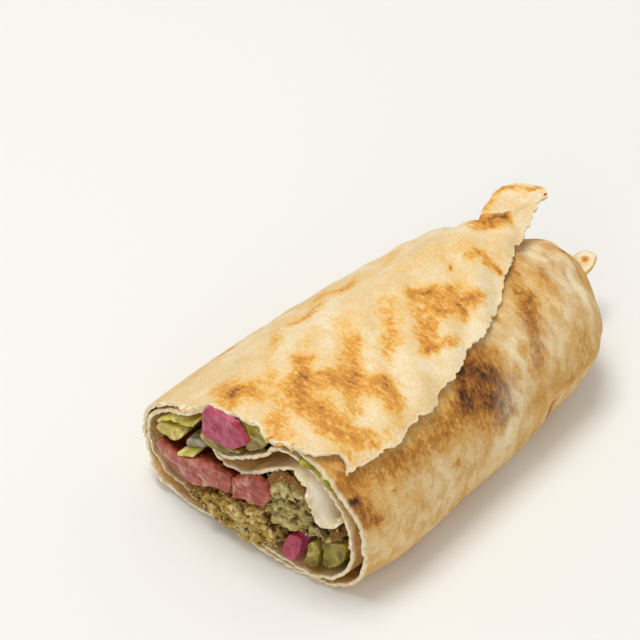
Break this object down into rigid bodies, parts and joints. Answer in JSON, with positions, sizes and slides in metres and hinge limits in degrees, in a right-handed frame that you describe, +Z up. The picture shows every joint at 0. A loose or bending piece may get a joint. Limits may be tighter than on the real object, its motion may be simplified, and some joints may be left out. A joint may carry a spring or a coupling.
{
  "type": "falafel wrap half",
  "caption": "Half of a cut falafel wrap, lying on its side: grilled flatbread rolled round falafel, tomato, pickled turnip, pickles and lettuce, with a loose flap over the top.",
  "frame": {"origin": "Under the middle of the wrap's box, on the surface it lies on.", "axes": "+Y runs along the wrap from its cut face to its folded end, +Z is up, and the flap's loose edge lies towards +X."},
  "size_m": [0.0732, 0.1258, 0.0476],
  "materials": {
    "bread": "matt, with golden-brown grill marks",
    "falafel": "coarse moist crumb with a brown crust",
    "tomato": "wet",
    "turnip": "wet, fibrous",
    "pickle": "wet, translucent",
    "cucumber": "coated with sauce",
    "lettuce": "satin leaf"
  },
  "bodies": {
    "root": {"flatbread": "bread", "falafel_left": "falafel", "falafel_right": "falafel", "tomato_left": "tomato", "tomato_right": "tomato", "turnip_top": "turnip", "turnip_bottom": "turnip", "pickle_top_left": "pickle", "pickle_top_right": "pickle", "pickle_under_turnip": "pickle", "pickle_bottom_left": "pickle", "pickle_bottom_right": "pickle", "cucumber": "cucumber", "lettuce_top": "lettuce", "lettuce_side": "lettuce", "lettuce_scrap": "lettuce"}
  },
  "joints": []
}
